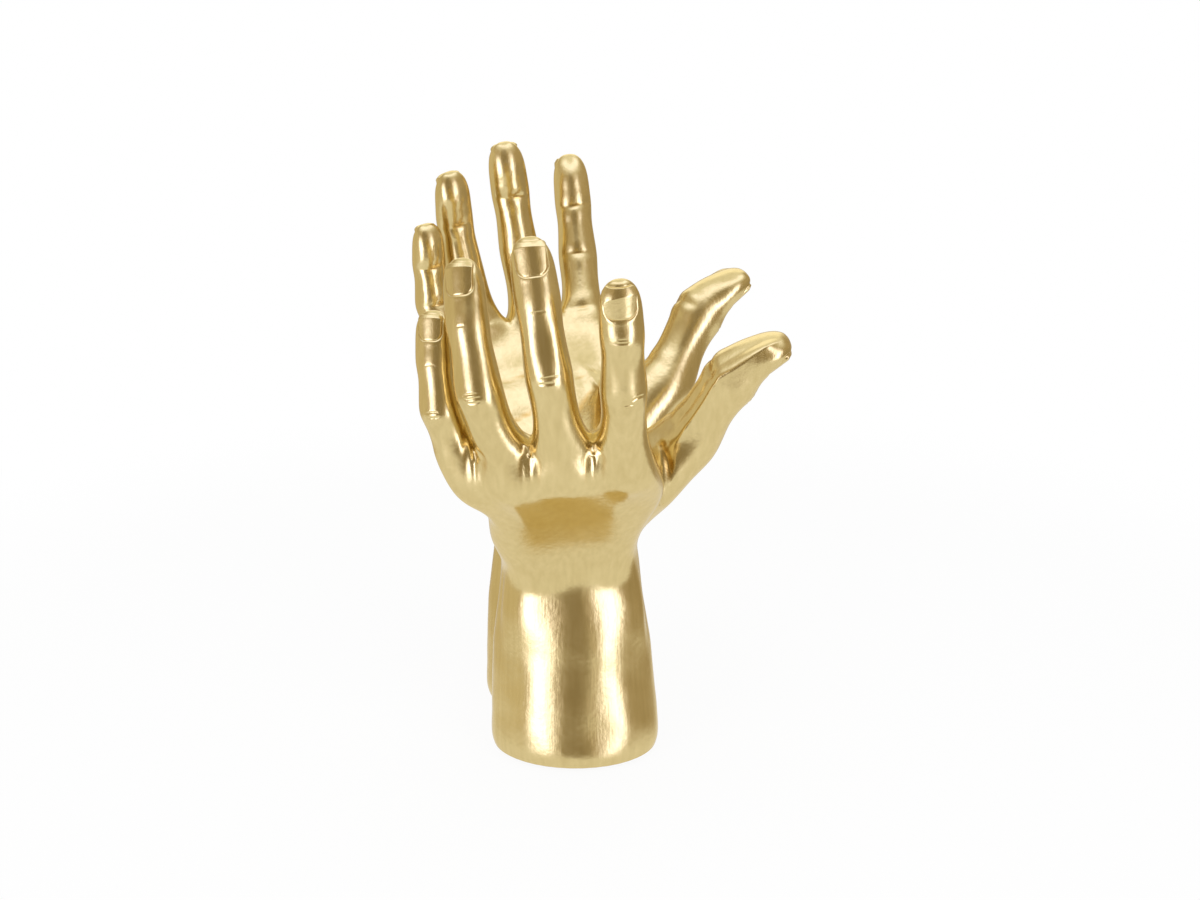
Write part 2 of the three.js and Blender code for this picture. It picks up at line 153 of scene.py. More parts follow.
def boneFrame(origin, across, along, length=0.0):
    back = np.cross(across, along)
    return {"origin": origin, "across": across, "back": back, "along": along, "length": length}


def fingerBones(plan):
    side = swing(hand["across"], hand["back"], -plan["arch"])
    back = swing(hand["back"], hand["across"], plan["arch"])
    place = inHand(plan["knuckle"])
    bones, flex = [], 0
    for i, length in enumerate(plan["bones"]):
        flex += plan["bend"][i]
        straight = swing(hand["along"], side, plan["spread"] + (plan["hook"] if i else 0))
        across = np.cross(straight, back)
        along = swing(straight, back, -flex)
        bones.append(boneFrame(place, across, along, length))
        place = place + along * length
    return bones


def thumbBones(plan):
    joints = [inHand(plan[name]) for name in ("root", "knuckle", "joint", "tip")]
    nail = sum(k * hand[name] for k, name in zip(plan["nailFaces"], ("across", "back", "along")))
    bones = []
    for start, end in zip(joints, joints[1:]):
        along = unit(end - start)
        across = unit(np.cross(along, nail))
        bones.append(boneFrame(start, across, along, float(np.linalg.norm(end - start))))
    return bones


skeleton = {name: fingerBones(plan) for name, plan in fingerPlan.items()}
skeleton["thumb"] = thumbBones(thumbPlan)


def jointFrame(bones, i):
    # frame at the joint where a bone starts, halfway between it and the bone before
    before, after = bones[max(i - 1, 0)], bones[i]
    along = unit(before["along"] + after["along"])
    across = before["across"] + after["across"]
    across = unit(across - along * (across @ along))
    return boneFrame(after["origin"], across, along)


def local(points, frameOf):
    offset = points - frameOf["origin"]
    return offset @ frameOf["across"], offset @ frameOf["back"], offset @ frameOf["along"]


def nearestFinger(points):
    best = np.full(len(points), np.inf)
    owner = np.empty(len(points), dtype=object)
    for name, bones in skeleton.items():
        for bone in bones:
            offset = points - bone["origin"]
            share = np.clip(offset @ bone["along"], 0, bone["length"])
            away = np.linalg.norm(offset - share[:, None] * bone["along"], axis=1)
            closer = away < best
            best[closer] = away[closer]
            owner[closer] = name
    return owner


# Carving of the hand: every feature gives each point a height along its normal

def bell(distance, width):
    return np.exp(-((distance / width) ** 2))


def ramp(value, start, end):
    t = np.clip((value - start) / (end - start), 0, 1)
    return t * t * (3 - 2 * t)


def bothSides(gap, away, width):
    return bell(gap - away, width) + bell(gap + away, width)


nails = {
    "roundness": 0.011,      # radius across the plate
    "lift": (-0.0004, 0.0014),     # how far the plate leaves the finger, at most
    "freeLift": 0.0009,      # at its free end
    "freeShare": 0.35,       # of the plate, which comes away from the finger
    "corners": (0.6, 0.35),  # radius at the cuticle and at the free end, against the half width
    "seat": (0.0012, 0.0016),      # patch of the cuticle that the plate is seated on, along and across
    "seatFacing": 0.5,
    "facing": (0.05, 0.4),
    "rim": (-0.0005, 0.0001),
    "groove": 0.0003,
    "grooveWidth": 0.00034,
    "freeGroove": 0.3,       # share of the groove at the free end
    "fold": 0.00006,         # swollen skin round the plate
    "foldWidth": 0.0009,
    "foldAway": 0.00135,
    "plates": {              # start and end along the last bone, slope against it, half width, shift across
        "index": {"start": 0.0104, "end": 0.0228, "slope": -0.03, "half": 0.0062, "shift": -0.0005},
        "middle": {"start": 0.0115, "end": 0.0246, "slope": -0.09, "half": 0.0060, "shift": 0.0002},
        "ring": {"start": 0.0110, "end": 0.0236, "slope": -0.09, "half": 0.0057, "shift": 0.0},
        "little": {"start": 0.0090, "end": 0.0190, "slope": -0.09, "half": 0.0048, "shift": 0.0},
        "thumb": {"start": 0.0140, "end": 0.0270, "slope": -0.05, "half": 0.0072, "shift": 0.0},
    },
}


def plateEdge(across, along, plate):
    # distance from the border of a plate with a round cuticle, negative on the plate
    middle, reach = (plate["start"] + plate["end"]) / 2, (plate["end"] - plate["start"]) / 2
    corner = plate["half"] * np.where(along < middle, *nails["corners"])
    wide = np.abs(across - plate["shift"]) - plate["half"] + corner
    long = np.abs(along - middle) - reach + corner
    outside = np.hypot(np.maximum(wide, 0), np.maximum(long, 0))
    return outside + np.minimum(np.maximum(wide, long), 0) - corner


def plateHeight(across, back, along, facing, free, plate):
    # from the finger up to a plate that lies along the bone, seated at the cuticle
    side = across - plate["shift"]
    seatLong, seatWide = nails["seat"]
    cuticle = (np.abs(along - plate["start"]) < seatLong) & (np.abs(side) < seatWide)
    cuticle &= facing > nails["seatFacing"]
    seat = back[cuticle].mean() + plate["slope"] * (along - plate["start"])
    lowest, highest = nails["lift"]
    highest = highest + (nails["freeLift"] - highest) * free
    return np.clip(seat - side**2 / (2 * nails["roundness"]) - back, lowest, highest)


def nailHeight(points, normals, owner):
    height = np.zeros(len(points))
    for name, plate in nails["plates"].items():
        bone = skeleton[name][-1]
        across, back, along = local(points, bone)
        facing = np.where(owner == name, ramp(normals @ bone["back"], *nails["facing"]), 0)
        edge = plateEdge(across, along, plate)
        freeLength = nails["freeShare"] * (plate["end"] - plate["start"])
        free = ramp(along, plate["end"] - freeLength, plate["end"])
        onPlate = 1 - ramp(edge, *nails["rim"])
        shape = onPlate * plateHeight(across, back, along, facing, free, plate)
        kept = 1 - (1 - nails["freeGroove"]) * free
        shape -= nails["groove"] * bell(edge, nails["grooveWidth"]) * kept
        shape += nails["fold"] * bell(edge - nails["foldAway"], nails["foldWidth"]) * (1 - free)
        height += shape * facing
    return height


# Short wrinkles over the joints: joint, shift along and across, half length, bow and depth
wrinkles = {
    "strength": 0.65,        # of all the depths below
    "width": 0.0004,
    "lip": 0.3,
    "lipAway": 0.00088,
    "lipWidth": 0.00052,
    "ends": (0.4, 1.15),     # shares of the half length between which a wrinkle fades
    "facing": (0.2, 0.5),
    "lines": {
        "index": (
            (2, 0.0018, -0.0010, 0.0032, 0.0003, 0.00028), (2, 0.0030, -0.0008, 0.0022, 0.0002, 0.00016),
            (1, 0.0024, 0.0044, 0.0026, 0.0007, 0.00042), (1, 0.0002, 0.0004, 0.0026, 0.0003, 0.00032),
            (1, -0.0030, 0.0016, 0.0026, -0.0004, 0.0002),
        ),
        "middle": (
            (2, -0.0014, 0.0, 0.0036, 0.0004, 0.00026),
            (1, 0.0028, 0.0010, 0.0044, 0.0005, 0.00036), (1, 0.0004, -0.0008, 0.0034, 0.0002, 0.00032),
            (1, -0.0020, 0.0006, 0.0028, -0.0004, 0.00022),
        ),
        "ring": (
            (2, -0.0004, 0.0, 0.003, 0.0004, 0.00022),
            (1, 0.0026, 0.0, 0.0036, 0.0005, 0.0004), (1, 0.0008, 0.0004, 0.0038, 0.0002, 0.00042),
            (1, -0.0012, 0.0, 0.0028, -0.0004, 0.0003),
        ),
        "little": (
            (2, 0.0, 0.0, 0.0026, 0.0004, 0.0002),
            (1, 0.0020, 0.0, 0.0030, 0.0005, 0.0003), (1, -0.0004, 0.0, 0.0030, -0.0003, 0.00026),
        ),
        "thumb": (
            (2, 0.0030, 0.0, 0.0044, 0.0008, 0.0003), (2, 0.0004, 0.0004, 0.0056, 0.0004, 0.00045),
            (2, -0.0022, -0.0006, 0.0044, -0.0005, 0.0003),
        ),
    },
}


def wrinkleHeight(points, normals, owner):
    height = np.zeros(len(points))
    for name, lines in wrinkles["lines"].items():
        for joint, shiftAlong, shiftAcross, half, bow, depth in lines:
            place = jointFrame(skeleton[name], joint)
            across, _, along = local(points, place)
            side = (across - shiftAcross) / half
            gap = along - shiftAlong + bow * side**2
            lips = wrinkles["lip"] * bothSides(gap, wrinkles["lipAway"], wrinkles["lipWidth"])
            shape = wrinkles["strength"] * depth * (lips - bell(gap, wrinkles["width"]))
            shape *= 1 - ramp(np.abs(side), *wrinkles["ends"])
            facing = ramp(normals @ place["back"], *wrinkles["facing"])
            height += np.where(owner == name, shape * facing, 0)
    return height


# Folds on the palm side of the fingers: bone, place as a share of its length, depth, slant across, and where
# across the finger the fold is pinched
fingerFolds = {
    "width": 0.0011,
    "pinch": 0.0028,
    "open": 0.35,            # depth away from the pinch
    "padAway": 0.0042,       # the flesh swells softly on both sides of a fold
    "padWidth": 0.0028,
    "swell": 0.45,
    "facing": (0.35, 0.85),
    "reach": (0.015, 0.019),       # from the bone, where a fold fades
    "lines": {
        "index": ((2, -0.02, 0.0006, 0.10, 0.001), (1, 0.03, 0.0005, 0.0, 0.0), (0, 0.40, 0.0005, 0.1, 0.0)),
        "middle": ((2, 0.02, 0.0006, -0.08, 0.002), (1, 0.03, 0.0005, 0.0, 0.0), (0, 0.42, 0.0005, 0.0, 0.0)),
        "ring": ((2, -0.02, 0.0005, 0.0, -0.001), (1, 0.03, 0.0006, 0.0, 0.0), (0, 0.44, 0.0005, 0.0, 0.0)),
        "little": ((2, 0.0, 0.0005, 0.0, 0.0), (1, 0.0, 0.0006, 0.0, 0.001), (0, 0.48, 0.0005, 0.0, 0.0)),
        "thumb": ((2, -0.02, 0.0010, 0.12, -0.002), (1, 0.12, 0.0005, 0.0, 0.0)),
    },
}


def foldHeight(points, normals, owner):
    height = np.zeros(len(points))
    least = fingerFolds["open"]
    for name, lines in fingerFolds["lines"].items():
        bones = skeleton[name]
        for bone, share, depth, slant, pinchAt in lines:
            place = jointFrame(bones, bone) if bone else bones[0]
            across, back, along = local(points, place)
            gap = along - share * bones[bone]["length"] - slant * across
            soft = fingerFolds["swell"] * bothSides(gap, fingerFolds["padAway"], fingerFolds["padWidth"])
            pinch = least + (1 - least) * bell(across - pinchAt, fingerFolds["pinch"])
            facing = ramp(normals @ -place["back"], *fingerFolds["facing"])
            close = 1 - ramp(np.hypot(across, back), *fingerFolds["reach"])
            shape = depth * (soft - bell(gap, fingerFolds["width"]) * pinch) * facing * close
            height += np.where(owner == name, shape, 0)
    return height


# Lines of the palm, as points across and along the hand
palmLines = {
    "swell": 0.35,
    "swellAway": 2.6,        # against the width of the line
    "swellWidth": 1.8,
    "facing": (0.15, 0.5),
    "deepest": 0.004,        # towards the back, where the palm ends
    "grows": (0.0, 0.15),    # shares of a line's length
    "fades": (0.8, 1.0),
    "lines": {
        "heart": {
            "points": ((-0.043, 0.060), (-0.030, 0.064), (-0.012, 0.066), (0.004, 0.072), (0.012, 0.084)),
            "depth": 0.0005, "width": 0.0018,
        },
        "head": {
            "points": ((0.038, 0.066), (0.024, 0.065), (0.008, 0.056), (-0.010, 0.046), (-0.024, 0.038)),
            "depth": 0.0005, "width": 0.0018,
        },
        "life": {
            "points": ((0.038, 0.063), (0.028, 0.058), (0.016, 0.046), (0.006, 0.030), (0.000, 0.012)),
            "depth": 0.0005, "width": 0.0026,
        },
    },
}


def smoothPath(points, steps=12):
    # Catmull-Rom through the chosen points
    p = np.array(points, float)
    p = np.vstack([2 * p[0] - p[1], p, 2 * p[-1] - p[-2]])
    t = np.linspace(0, 1, steps, endpoint=False)[:, None]
    path = []
    for a, b, c, d in zip(p, p[1:], p[2:], p[3:]):
        bend = (2 * a - 5 * b + 4 * c - d) * t**2 + (3 * b - a - 3 * c + d) * t**3
        path.append(0.5 * (2 * b + (c - a) * t + bend))
    return np.vstack([*path, p[-2]])


def distanceTo(points, path):
    # distance to a path, and how far along it the nearest point lies, from 0 to 1
    best = np.full(len(points), np.inf)
    place = np.zeros(len(points))
    count = len(path) - 1
    for i, (a, b) in enumerate(zip(path, path[1:])):
        edge = b - a
        t = np.clip(((points - a) @ edge) / (edge @ edge), 0, 1)
        away = np.linalg.norm(points - a - t[:, None] * edge, axis=1)
        closer = away < best
        best[closer] = away[closer]
        place[closer] = (i + t[closer]) / count
    return best, place


def palmHeight(points, normals, owner):
    height = np.zeros(len(points))
    across, back, along = local(points, hand)
    flat = np.column_stack([across, along])
    facing = ramp(normals @ -hand["back"], *palmLines["facing"]) * (back < palmLines["deepest"])
    for line in palmLines["lines"].values():
        away, place = distanceTo(flat, smoothPath(line["points"]))
        ends = ramp(place, *palmLines["grows"]) * (1 - ramp(place, *palmLines["fades"]))
        width = line["width"]
        soft = bell(away - palmLines["swellAway"] * width, palmLines["swellWidth"] * width)
        height += line["depth"] * (palmLines["swell"] * soft - bell(away, width)) * ends * facing
    return height


# Skin folds that run from the webs down the back of the hand: two ridges with a groove between them
webFolds = {
    "ridge": 0.00028,
    "ridgeAway": 0.0014,
    "ridgeWidth": 0.0007,
    "groove": 0.00034,
    "grooveWidth": 0.0006,
    "hollow": 0.0003,
    "hollowAway": 0.0036,
    "hollowWidth": 0.0014,
    "facing": (0.1, 0.5),
    "fades": (0.3, 1.0),     # shares of a fold's length
    "lines": (               # across and along the hand
        ((0.0147, 0.101), (0.0140, 0.0965), (0.0130, 0.079)),
        ((-0.0109, 0.100), (-0.0116, 0.0955), (-0.0125, 0.078)),
        ((-0.0323, 0.099), (-0.0333, 0.0935), (-0.0345, 0.077)),
    ),
    "thumbLine": ((0.0443, -0.0219, 0.0538), (0.0456, -0.0143, 0.0507), (0.0452, -0.0076, 0.0437)),
    "thumbDepth": 0.0012,
    "thumbWidth": 0.0016,
    "thumbFades": (0.4, 1.0),
    "thumbSteps": 4,
}


def webHeight(points, normals, owner):
    height = np.zeros(len(points))
    across, _, along = local(points, hand)
    flat = np.column_stack([across, along])
    facing = ramp(normals @ hand["back"], *webFolds["facing"])
    for line in webFolds["lines"]:
        away, place = distanceTo(flat, smoothPath(line))
        shape = webFolds["ridge"] * bell(away - webFolds["ridgeAway"], webFolds["ridgeWidth"])
        shape -= webFolds["groove"] * bell(away, webFolds["grooveWidth"])
        shape -= webFolds["hollow"] * bell(away - webFolds["hollowAway"], webFolds["hollowWidth"])
        height += shape * facing * (1 - ramp(place, *webFolds["fades"]))
    thumbLine = [inHand(point) for point in webFolds["thumbLine"]]
    away, place = distanceTo(points, smoothPath(thumbLine, webFolds["thumbSteps"]))
    shape = webFolds["thumbDepth"] * bell(away, webFolds["thumbWidth"])
    return height - shape * (1 - ramp(place, *webFolds["thumbFades"]))


# Edge along the outer side of the thumb, from its knuckle to the nail, with a flat side below it
thumbEdge = {
    "fullness": 1.0,         # 1 makes the side quite flat
    "tilt": 5,               # degrees that the flat faces away from the pad
    "peak": 36,              # degrees from the middle of the flat towards the pad
    "end": 64,
    "start": (-0.004, 0.010),      # along the middle bone
    "finish": (0.021, 0.0285),     # along the last bone
    "turnOver": 0.005,
}


def edgeRise(across, back):
    angle = np.degrees(np.arctan2(-back, -across)) + thumbEdge["tilt"]
    flat = np.hypot(across, back) * (1 / np.cos(np.radians(np.clip(angle, 0, thumbEdge["peak"]))) - 1)
    return thumbEdge["fullness"] * flat * (1 - ramp(angle, thumbEdge["peak"], thumbEdge["end"]))


def thumbHeight(points, normals, owner):
    middle, last = skeleton["thumb"][1:]
    acrossMiddle, backMiddle, alongMiddle = local(points, middle)
    acrossLast, backLast, alongLast = local(points, last)
    share = ramp(alongLast, -thumbEdge["turnOver"], thumbEdge["turnOver"])
    rise = (1 - share) * edgeRise(acrossMiddle, backMiddle) + share * edgeRise(acrossLast, backLast)
    rise *= ramp(alongMiddle, *thumbEdge["start"]) * (1 - ramp(alongLast, *thumbEdge["finish"]))
    return np.where(owner == "thumb", rise, 0)


# Back of the hand: tendons from the wrist to each knuckle, the row of knuckles, and a flatter middle
handBack = {
    "facing": (0.2, 0.6),
    "tendonStart": 0.018,
    "gather": 0.35,          # how far apart the tendons start, against the knuckles
    "tendonRise": 0.0004,
    "tendonWidth": 0.0026,
    "tendonGrows": (0.3, 0.8),     # shares of its length
    "knuckleRise": 0.0010,
    "knuckleWidth": 0.0085,
    "dish": 0.0018,          # depth by which the middle is flattened
    "dishAt": (0.001, 0.036),      # across and along
    "dishWidths": (0.024, 0.030),
}


def backHeight(points, normals, owner):
    height = np.zeros(len(points))
    across, _, along = local(points, hand)
    flat = np.column_stack([across, along])
    facing = ramp(normals @ hand["back"], *handBack["facing"])
    knuckles = np.array([plan["knuckle"] for plan in fingerPlan.values()])[:, [0, 2]]
    for knuckle in knuckles:
        start = np.array([handBack["gather"] * knuckle[0], handBack["tendonStart"]])
        away, place = distanceTo(flat, np.array([start, knuckle]))
        tendon = handBack["tendonRise"] * bell(away, handBack["tendonWidth"])
        height += tendon * ramp(place, *handBack["tendonGrows"]) * facing
    away, _ = distanceTo(flat, smoothPath(knuckles))
    height += handBack["knuckleRise"] * bell(away, handBack["knuckleWidth"]) * facing
    aside, beyond = (flat - handBack["dishAt"]).T / np.array(handBack["dishWidths"])[:, None]
    height -= handBack["dish"] * bell(np.hypot(aside, beyond), 1) * facing
    return height


# Middle bone of the middle finger, flatter on the back than a plain tube
fingerFlat = {
    "finger": "middle",
    "bone": 1,
    "rise": 0.0006,          # on both sides of the back
    "side": 0.0056,
    "width": 0.0040,
    "start": -0.002,
    "margin": 0.013,
    "facing": (0.2, 0.55),
}


def flatHeight(points, normals, owner):
    name, margin = fingerFlat["finger"], fingerFlat["margin"]
    bone = skeleton[name][fingerFlat["bone"]]
    end = bone["length"]
    across, _, along = local(points, bone)
    within = ramp(along, fingerFlat["start"], margin) * (1 - ramp(along, end - margin, end))
    facing = ramp(normals @ bone["back"], *fingerFlat["facing"])
    shape = fingerFlat["rise"] * bell(np.abs(across) - fingerFlat["side"], fingerFlat["width"])
    return np.where(owner == name, shape * within * facing, 0)


outerFacing = (0.3, 0.8)


def outerSide(normals):
    # 1 where the casting faces away from its twin
    return ramp(-normals[:, 1], *outerFacing)


# Soft flat that winds down the outer side of the forearm
armFlat = {
    "heights": (0.014, 0.079),
    "places": (0.0079, -0.0018),         # across, at those heights
    "slopes": (0.127, -0.13),
    "width": 0.014,
    "low": (0.0, 0.012),     # none of it below or above
    "high": (0.080, 0.092),
}


def armHeight(points, normals, owner):
    rise = points[:, 2]
    side = points[:, 0] - np.interp(rise, armFlat["heights"], armFlat["places"])
    slope = np.interp(rise, armFlat["heights"], armFlat["slopes"])
    shape = slope * side * bell(side, armFlat["width"])
    shape *= ramp(rise, *armFlat["low"]) * (1 - ramp(rise, *armFlat["high"]))
    return shape * outerSide(normals)


# Unevenness left by the hand that modelled it, as a few long waves
unevenness = {
    "waves": 8,
    "longest": 0.06,
    "shorter": 0.8,          # each wave against the one before
    "steepness": 0.007,
    "armSteepness": 0.014,
    "armEnd": 0.7,           # share of the wrist's height from which the forearm gives way to the hand
    "bondClear": (0.003, 0.012),   # none of it near the bond, the dowels and the plug
    "footClear": (0.004, 0.02),
}


def waveHeight(points, normals, owner):
    # the waves run in directions spread evenly over a sphere
    height = np.zeros(len(points))
    length = unevenness["longest"]
    goldenAngle = math.pi * (3 - math.sqrt(5))
    for k in range(unevenness["waves"]):
        rise = 1 - 2 * (k + 0.5) / unevenness["waves"]
        around = k * goldenAngle
        flat = math.sqrt(1 - rise**2)
        way = np.array([flat * math.cos(around), flat * math.sin(around), rise])
        height += length / (2 * math.pi) * np.sin(2 * math.pi * (points @ way) / length + k)
        length *= unevenness["shorter"]
    wrist = handPose["wristHeight"]
    arm = 1 - ramp(points[:, 2], unevenness["armEnd"] * wrist, wrist)
    return height * (unevenness["steepness"] * (1 - arm) + unevenness["armSteepness"] * arm)


# Lines get a painted shade in the gold's colour, and forms don't. The mesh is split at the sharp ones, and
# again at the fine ones.
lineFeatures = (nailHeight, wrinkleHeight, foldHeight, palmHeight, webHeight)
formFeatures = (thumbHeight, backHeight, flatHeight, armHeight, waveHeight)
sharpFeatures = (webHeight, thumbHeight, nailHeight, wrinkleHeight)
fineFeatures = (nailHeight, wrinkleHeight)

# Cast surface: the solid's own facets, made smooth again and carved

castSetup = {
    "weld": 1e-6,
    "sharpAngle": 38,        # edges of the cuts stay sharp
    "cutFacing": 0.999,      # faces this straight belong to the cuts under the foot and at the bond
    "sameLength": 1e-9,
    "levels": 2,
    "settling": 3,           # rounds that bring the smooth surface back out to the solid's corners
    "settleLimit": 0.0008,
    "splitFrom": 0.00004,    # faces that are carved by more than this are split
}


def quadMesh(node, name):
    # copy of a solid's triangles, joined back into four-sided faces
    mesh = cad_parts[node].data.copy()
    mesh.name = name
    bm = bmesh.new()
    bm.from_mesh(mesh)
    bmesh.ops.remove_doubles(bm, verts=bm.verts, dist=castSetup["weld"])
    sharp, straight = math.radians(castSetup["sharpAngle"]), castSetup["cutFacing"]
    crease = bm.edges.layers.float.new("crease_edge")
    splits = []
    for edge in bm.edges:
        cut = [face.normal.z < -straight or face.normal.y > straight for face in edge.link_faces]
        if edge.calc_face_angle() > sharp or cut[0] != cut[1]:
            edge[crease] = 1.0
            edge.smooth = False
            continue
        length = edge.calc_length() + castSetup["sameLength"]
        if all(length >= side.calc_length() for face in edge.link_faces for side in face.edges):
            splits.append(edge)
    bmesh.ops.dissolve_edges(bm, edges=splits, use_verts=False)
    bm.to_mesh(mesh)
    bm.free()
    return mesh


def realMesh(obj):
    graph = bpy.context.evaluated_depsgraph_get()
    return bpy.data.meshes.new_from_object(obj.evaluated_get(graph))


def readVectors(items, name):
    values = np.empty(len(items) * 3)
    items.foreach_get(name, values)
    return values.reshape(-1, 3)


def readPoints(mesh):
    return readVectors(mesh.vertices, "co")


def readNormals(mesh):
    return readVectors(mesh.vertex_normals, "vector")


def writePoints(mesh, points):
    mesh.vertices.foreach_set("co", points.ravel())
    mesh.update()


def smoothMesh(obj):
    # smoothing draws the surface in, so the corners start further out by as much as they were drawn in
    smooth = obj.modifiers.new("smooth", "SUBSURF")
    smooth.levels = castSetup["levels"]
    smooth.render_levels = castSetup["levels"]
    coarse = obj.data
    goal = readPoints(coarse)
    limit = castSetup["settleLimit"]
    for _ in range(castSetup["settling"]):
        drawn = realMesh(obj)
        moved = np.clip(goal - readPoints(drawn)[:len(goal)], -limit, limit)
        bpy.data.meshes.remove(drawn)
        writePoints(coarse, readPoints(coarse) + moved)
    mesh = realMesh(obj)
    obj.modifiers.clear()
    obj.data = mesh
    bpy.data.meshes.remove(coarse)


# Bend where the hand leans out over the forearm, filled out from below and then eased
wristBend = {
    "fullness": 0.0057,
    "fullAt": 0.0785,
    "fullWidths": (0.022, 0.0098),       # below and above
    "easeAt": 0.089,
    "easeWidth": 0.015,
    "easeRounds": 320,
    "leastShare": 0.01,      # points with less of it stay as they are
}


def softenBend(obj):
    mesh = obj.data
    points, normals = readPoints(mesh), readNormals(mesh)
    outer = outerSide(normals)
    above = points[:, 2] - wristBend["fullAt"]
    rise = wristBend["fullness"] * bell(above, np.where(above < 0, *wristBend["fullWidths"])) * outer
    writePoints(mesh, points + normals * rise[:, None])
    share = bell(points[:, 2] - wristBend["easeAt"], wristBend["easeWidth"]) * outer
    group = obj.vertex_groups.new(name="bend")
    for index in np.flatnonzero(share > wristBend["leastShare"]):
        group.add([int(index)], share[index], "REPLACE")
    ease = obj.modifiers.new("ease", "SMOOTH")
    ease.vertex_group = group.name
    ease.iterations = wristBend["easeRounds"]
    eased = realMesh(obj)
    writePoints(mesh, readPoints(eased))
    bpy.data.meshes.remove(eased)
    obj.modifiers.clear()
    obj.vertex_groups.clear()


def clearOfCuts(points):
    # 0 at the bond, the foot and the holes, 1 on the rest of the casting
    bond = ramp(-points[:, 1], *unevenness["bondClear"])
    foot = ramp(points[:, 2], *unevenness["footClear"])
    upright = points[:, 2] > handPose["wristHeight"]
    return np.where(upright, ramp(-points[:, 1], 0, unevenness["bondClear"][0]), bond * foot)


def carve(mesh, features):
    points, normals = readPoints(mesh), readNormals(mesh)
    owner = nearestFinger(points)
    return clearOfCuts(points) * sum(feature(points, normals, owner) for feature in features)


def splitWhere(mesh, features):
    marked = np.abs(carve(mesh, features)) > castSetup["splitFrom"]
    bm = bmesh.new()
    bm.from_mesh(mesh)
    touched = {face for vert in bm.verts if marked[vert.index] for face in vert.link_faces}
    edges = {edge for face in touched for edge in face.edges}
    bmesh.ops.subdivide_edges(bm, edges=list(edges), cuts=1, smooth=1.0, use_grid_fill=True)
    bm.to_mesh(mesh)
    bm.free()


def castHand(name):
    cast = addObject(name, quadMesh("left_hand", name))
    smoothMesh(cast)
    softenBend(cast)
    mesh = cast.data
    splitWhere(mesh, sharpFeatures)
    splitWhere(mesh, fineFeatures)
    depth = carve(mesh, lineFeatures)
    height = depth + carve(mesh, formFeatures)
    writePoints(mesh, readPoints(mesh) + readNormals(mesh) * height[:, None])
    # the depth of the lines drives the painted crevice shade of the gold paint
    carved = mesh.attributes.new("carvedDepth", "FLOAT", "POINT")
    carved.data.foreach_set("value", depth)
    mesh.shade_smooth()
    return cast


def mirrored(obj, name):
    mesh = obj.data.copy()
    mesh.name = name
    writePoints(mesh, readPoints(mesh) * [1, -1, 1])
    mesh.flip_normals()
    return addObject(name, mesh)


leftCast = castHand("leftCast")
rightCast = mirrored(leftCast, "rightCast")
leftCast.data.calc_loop_triangles()
print("hands cast,", len(leftCast.data.loop_triangles), "triangles each")

# Finishes

def nodeTree(owner):
    # emptied nodes of a material or a world
    owner.use_nodes = True
    owner.node_tree.nodes.clear()
    return owner.node_tree


nodeGap = 220            # between nodes, which lie in a row


def addNode(tree, kind, sockets=None, **values):
    node = tree.nodes.new(kind)
    node.location = (-nodeGap * len(tree.nodes), 0)
    for name, value in values.items():
        setattr(node, name, value)
    for name, value in (sockets or {}).items():
        node.inputs[name].default_value = value
    return node


def wire(tree, *links):
    # each link is a node, its output, the next node and its input
    for node, output, target, slot in links:
        tree.links.new(node.outputs[output], target.inputs[slot])


def grainGroup():
    # grain of any scale on object coordinates, as a value from low to high
    group = bpy.data.node_groups.new("surfaceGrain", "ShaderNodeTree")
    for name, value in (("Scale", 100.0), ("Detail", 3.0), ("Stretch", 1.0), ("Low", 0.0), ("High", 1.0)):
        socket = group.interface.new_socket(name, in_out="INPUT", socket_type="NodeSocketFloat")
        socket.default_value = value
    group.interface.new_socket("Value", in_out="OUTPUT", socket_type="NodeSocketFloat")
    inputs = addNode(group, "NodeGroupInput")
    outputs = addNode(group, "NodeGroupOutput")
    coords = addNode(group, "ShaderNodeTexCoord")
    stretch = addNode(group, "ShaderNodeCombineXYZ", {"X": 1.0, "Y": 1.0})
    scaled = addNode(group, "ShaderNodeVectorMath", operation="MULTIPLY")
    noise = addNode(group, "ShaderNodeTexNoise")
    # most of the noise lies within these limits
    mapped = addNode(group, "ShaderNodeMapRange", {"From Min": 0.3, "From Max": 0.7})
    wire(
        group,
        (inputs, "Stretch", stretch, "Z"), (coords, "Object", scaled, 0), (stretch, "Vector", scaled, 1),
        (scaled, "Vector", noise, "Vector"), (inputs, "Scale", noise, "Scale"),
        (inputs, "Detail", noise, "Detail"), (noise, "Fac", mapped, "Value"),
        (inputs, "Low", mapped, "To Min"), (inputs, "High", mapped, "To Max"),
        (mapped, "Result", outputs, "Value"),
    )
    return group


surfaceGrain = grainGroup()


def addGrain(tree, sockets):
    return addNode(tree, "ShaderNodeGroup", sockets, node_tree=surfaceGrain)


def addBump(tree, strength, height):
    return addNode(tree, "ShaderNodeBump", {"Strength": strength, "Distance": height})


def mixColours(tree, sockets):
    colours = {name: (*colour, 1) for name, colour in sockets.items()}
    return addNode(tree, "ShaderNodeMix", colours, data_type="RGBA")


goldFinish = {
    "bright": (0.77, 0.625, 0.30),
    "deep": (0.655, 0.517, 0.225),
    # painted shade: the carved lines get a darker, deeper gold that stands in for shade and light bounced
    # between their walls
    "creviceShade": (0.55, 0.36, 0.10),
    "creviceShadeDepths": (-0.000135, -0.00045),    # where the painted crevice shade starts, and where it is full
    "edgeTint": (0.92, 0.86, 0.70),
    "coat": 0.16,
    "coatRough": 0.1,
    "clouds": {"Scale": 28.0, "Detail": 4.0},
    "strokes": {"Scale": 420.0, "Detail": 3.0, "Stretch": 0.07},
    "strokeShare": 0.55,     # of the tone, the rest is clouds
    "haze": {"Scale": 55.0, "Detail": 5.0, "Low": 0.16, "High": 0.25},     # roughness
    "peel": {"Scale": 420.0, "Detail": 2.0},
    "peelBump": (0.05, 0.0006),    # strength and height
    "wipe": {"Scale": 900.0, "Detail": 4.0, "Stretch": 0.06},
    "wipeBump": (0.08, 0.0002),
}


